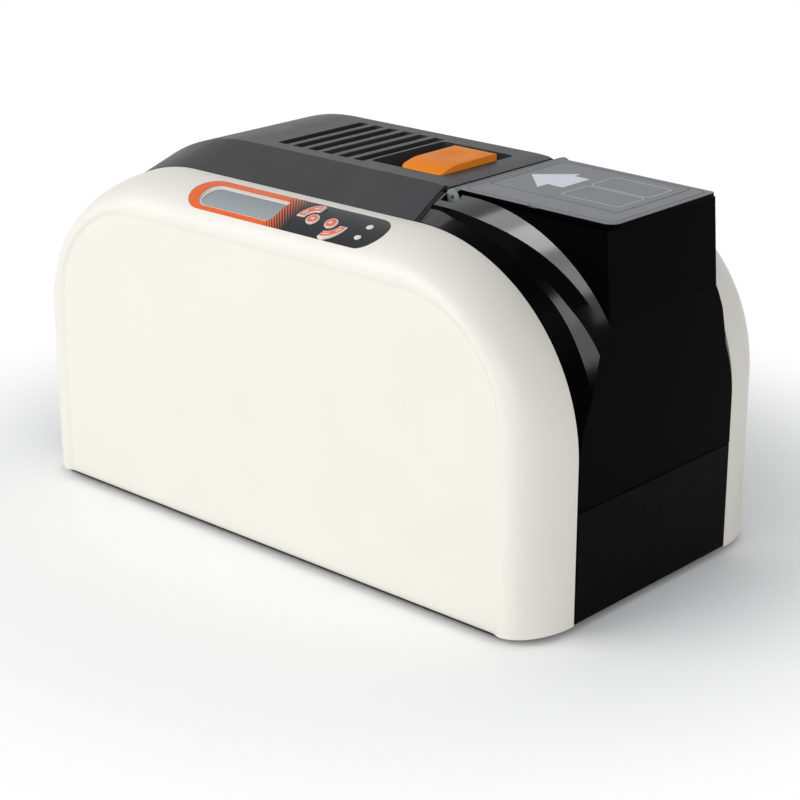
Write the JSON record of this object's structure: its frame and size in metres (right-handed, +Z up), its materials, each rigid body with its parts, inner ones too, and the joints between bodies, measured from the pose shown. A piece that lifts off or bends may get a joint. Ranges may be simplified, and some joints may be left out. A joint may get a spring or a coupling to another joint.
{
  "type": "id card printer",
  "caption": "Desktop card printer with rounded pale side panels, hinged grey top cover with a finger pocket, gloss black front, lidded card hopper, sliding output tray and inner print mechanism",
  "frame": {"origin": "centre of the bounding box in X and Y, at the bottom of the rubber feet", "axes": "+X points along the card path to the hopper and output tray end, -Y is the side with the control pad, +Z is up"},
  "size_m": [0.363, 0.197, 0.2064],
  "materials": {
    "panel_plastic": "fine matte",
    "cover_plastic": "fine matte grey",
    "front_plastic": "gloss black",
    "rear_plastic": "fine matte black",
    "base_plastic": "matte black",
    "tray_plastic": "textured black",
    "lid_plastic": "fine matte grey",
    "bright_steel": "turned",
    "dark_plastic": "matte",
    "weight_plastic": "matte",
    "orange_plastic": "satin",
    "sheet_steel": "zinc plated",
    "label_film": "printed film, orange stripes",
    "display_window": "tinted window",
    "display_module": "display and frame",
    "key_plastic": "satin orange",
    "circuit_board": "solder mask",
    "foot_rubber": "soft black",
    "bronze": "sintered",
    "roller_rubber": "ground",
    "cleaning_rubber": "tacky",
    "gear_plastic": "moulded",
    "motor_steel": "dark",
    "head_aluminium": "extruded",
    "cassette_plastic": "matte",
    "ribbon_film": "coloured film",
    "rocker_plastic": "red"
  },
  "bodies": {
    "printer": {"control_side_panel": "panel_plastic", "far_side_panel": "panel_plastic", "front_housing": "front_plastic", "rear_housing": "rear_plastic", "base_tray": "base_plastic", "hopper_liner": "dark_plastic", "latch_bridge": "sheet_steel", "cover_hinge_pin": "bright_steel", "control_overlay": "label_film", "lcd_window": "display_window", "lcd_module": "display_module", "control_board": "circuit_board", "rubber_feet": "foot_rubber", "near_frame_plate": "sheet_steel", "far_frame_plate": "sheet_steel", "cross_ties": "bright_steel", "shaft_bushes": "bronze", "drive_belts": "roller_rubber", "main_motor": "motor_steel", "ribbon_cassette": "cassette_plastic", "ribbon_motor": "motor_steel", "card_guides": "dark_plastic", "main_board": "circuit_board", "cooling_fan": "dark_plastic", "power_inlet": "dark_plastic", "usb_port": "sheet_steel", "base_screws": "bright_steel"},
    "cover": {"top_cover": "cover_plastic", "head_bracket": "sheet_steel", "latch_spring": "bright_steel"},
    "button": {"release_button": "orange_plastic", "latch_hook": "dark_plastic"},
    "head": {"print_head": "head_aluminium"},
    "lid": {"hopper_lid": "lid_plastic", "lid_hinge_pins": "bright_steel"},
    "tray": {"output_tray": "tray_plastic"},
    "weight": {"card_weight": "weight_plastic"},
    "key_a": {"key_upper_arc": "key_plastic"},
    "key_b": {"key_upper_round": "key_plastic"},
    "key_c": {"key_lower_round": "key_plastic"},
    "key_d": {"key_lower_arc": "key_plastic"},
    "pick": {"pick_roller": "roller_rubber", "pick_shaft": "bright_steel"},
    "feed": {"feed_roller": "roller_rubber", "feed_shaft": "bright_steel"},
    "platen": {"platen_roller": "roller_rubber", "platen_shaft": "bright_steel", "platen_gear": "gear_plastic"},
    "transport": {"transport_roller": "roller_rubber", "transport_shaft": "bright_steel"},
    "motor_rotor": {"motor_pinion": "bronze"},
    "feed_pinch": {"feed_pinch_roller": "roller_rubber"},
    "transport_pinch": {"transport_pinch_roller": "roller_rubber"},
    "cleaner": {"cleaning_roller": "cleaning_rubber"},
    "supply": {"supply_spool": "gear_plastic", "supply_ribbon": "ribbon_film"},
    "takeup": {"takeup_spool": "gear_plastic"},
    "fan": {"fan_rotor": "dark_plastic"},
    "flap": {"diverter_flap": "dark_plastic"},
    "rocker": {"power_rocker": "rocker_plastic"}
  },
  "joints": [
    {"name": "cover_hinge", "type": "hinge", "parent": "printer", "child": "cover", "pos_m": [-0.13398, 0, 0.16861], "axis": [0, -1, 0], "range_deg": [0, 70]},
    {"name": "release_slide", "type": "slide", "parent": "cover", "child": "button", "axis": [-1, 0, 0], "range_m": [0, 0.006], "stiffness_N_per_m": 300, "springref_m": -0.003, "deforming": ["latch_spring"]},
    {"name": "head_pivot", "type": "hinge", "parent": "cover", "child": "head", "pos_m": [0, 0, 0.12986], "axis": [0, 1, 0], "range_deg": [-3, 3], "stiffness_Nm_per_rad": 2},
    {"name": "lid_hinge", "type": "hinge", "parent": "printer", "child": "lid", "pos_m": [0.0834, 0, 0.1985], "axis": [0, -1, 0], "range_deg": [0, 92]},
    {"name": "tray_slide", "type": "slide", "parent": "printer", "child": "tray", "axis": [1, 0, 0], "range_m": [0, 0.065]},
    {"name": "weight_slide", "type": "slide", "parent": "printer", "child": "weight", "axis": [0, 0, 1], "range_m": [0, 0.062]},
    {"name": "upper_arc_key_press", "type": "slide", "parent": "printer", "child": "key_a", "axis": [0, 0.3871, -0.922], "range_m": [0, 0.0006], "stiffness_N_per_m": 1500, "springref_m": -0.0004},
    {"name": "upper_round_key_press", "type": "slide", "parent": "printer", "child": "key_b", "axis": [0, 0.3871, -0.922], "range_m": [0, 0.0006], "stiffness_N_per_m": 1500, "springref_m": -0.0004},
    {"name": "lower_round_key_press", "type": "slide", "parent": "printer", "child": "key_c", "axis": [0, 0.3871, -0.922], "range_m": [0, 0.0006], "stiffness_N_per_m": 1500, "springref_m": -0.0004},
    {"name": "lower_arc_key_press", "type": "slide", "parent": "printer", "child": "key_d", "axis": [0, 0.3871, -0.922], "range_m": [0, 0.0006], "stiffness_N_per_m": 1500, "springref_m": -0.0004},
    {"name": "platen_spin", "type": "hinge", "parent": "printer", "child": "platen", "pos_m": [0, 0, 0.1], "axis": [0, 1, 0], "continuous": true},
    {"name": "pick_spin", "type": "hinge", "parent": "printer", "child": "pick", "pos_m": [0.112, 0, 0.0995], "axis": [0, 1, 0], "continuous": true},
    {"name": "feed_spin", "type": "hinge", "parent": "printer", "child": "feed", "pos_m": [0.066, 0, 0.1], "axis": [0, 1, 0], "continuous": true},
    {"name": "transport_spin", "type": "hinge", "parent": "printer", "child": "transport", "pos_m": [-0.062, 0, 0.1], "axis": [0, 1, 0], "continuous": true},
    {"name": "motor_spin", "type": "hinge", "parent": "printer", "child": "motor_rotor", "pos_m": [-0.02065, 0, 0.07051], "axis": [0, 1, 0], "continuous": true},
    {"name": "feed_pinch_spin", "type": "hinge", "parent": "printer", "child": "feed_pinch", "pos_m": [0.066, 0, 0.11386], "axis": [0, 1, 0], "continuous": true},
    {"name": "transport_pinch_spin", "type": "hinge", "parent": "printer", "child": "transport_pinch", "pos_m": [-0.062, 0, 0.11386], "axis": [0, 1, 0], "continuous": true},
    {"name": "cleaning_spin", "type": "hinge", "parent": "printer", "child": "cleaner", "pos_m": [0.042, 0, 0.11586], "axis": [0, 1, 0], "continuous": true},
    {"name": "supply_spin", "type": "hinge", "parent": "printer", "child": "supply", "pos_m": [-0.042, 0, 0.154], "axis": [0, 1, 0], "continuous": true},
    {"name": "takeup_spin", "type": "hinge", "parent": "printer", "child": "takeup", "pos_m": [0.042, 0, 0.154], "axis": [0, 1, 0], "continuous": true},
    {"name": "fan_spin", "type": "hinge", "parent": "printer", "child": "fan", "pos_m": [-0.1735, 0.026, 0.07], "axis": [1, 0, 0], "continuous": true},
    {"name": "diverter_pivot", "type": "hinge", "parent": "printer", "child": "flap", "pos_m": [0.085, 0, 0.101], "axis": [0, 1, 0], "range_deg": [0, 15]},
    {"name": "rocker_pivot", "type": "hinge", "parent": "printer", "child": "rocker", "pos_m": [-0.178, -0.004, 0.038], "axis": [0, -1, 0], "range_deg": [0, 14]}
  ],
  "couplings": [
    {"joint": "pick_spin", "follows": "platen_spin", "ratio": 1},
    {"joint": "feed_spin", "follows": "platen_spin", "ratio": 1},
    {"joint": "transport_spin", "follows": "platen_spin", "ratio": 1},
    {"joint": "motor_spin", "follows": "platen_spin", "ratio": -3.5},
    {"joint": "feed_pinch_spin", "follows": "platen_spin", "ratio": -1.6},
    {"joint": "transport_pinch_spin", "follows": "platen_spin", "ratio": -1.6},
    {"joint": "cleaning_spin", "follows": "platen_spin", "ratio": -1.1429}
  ]
}
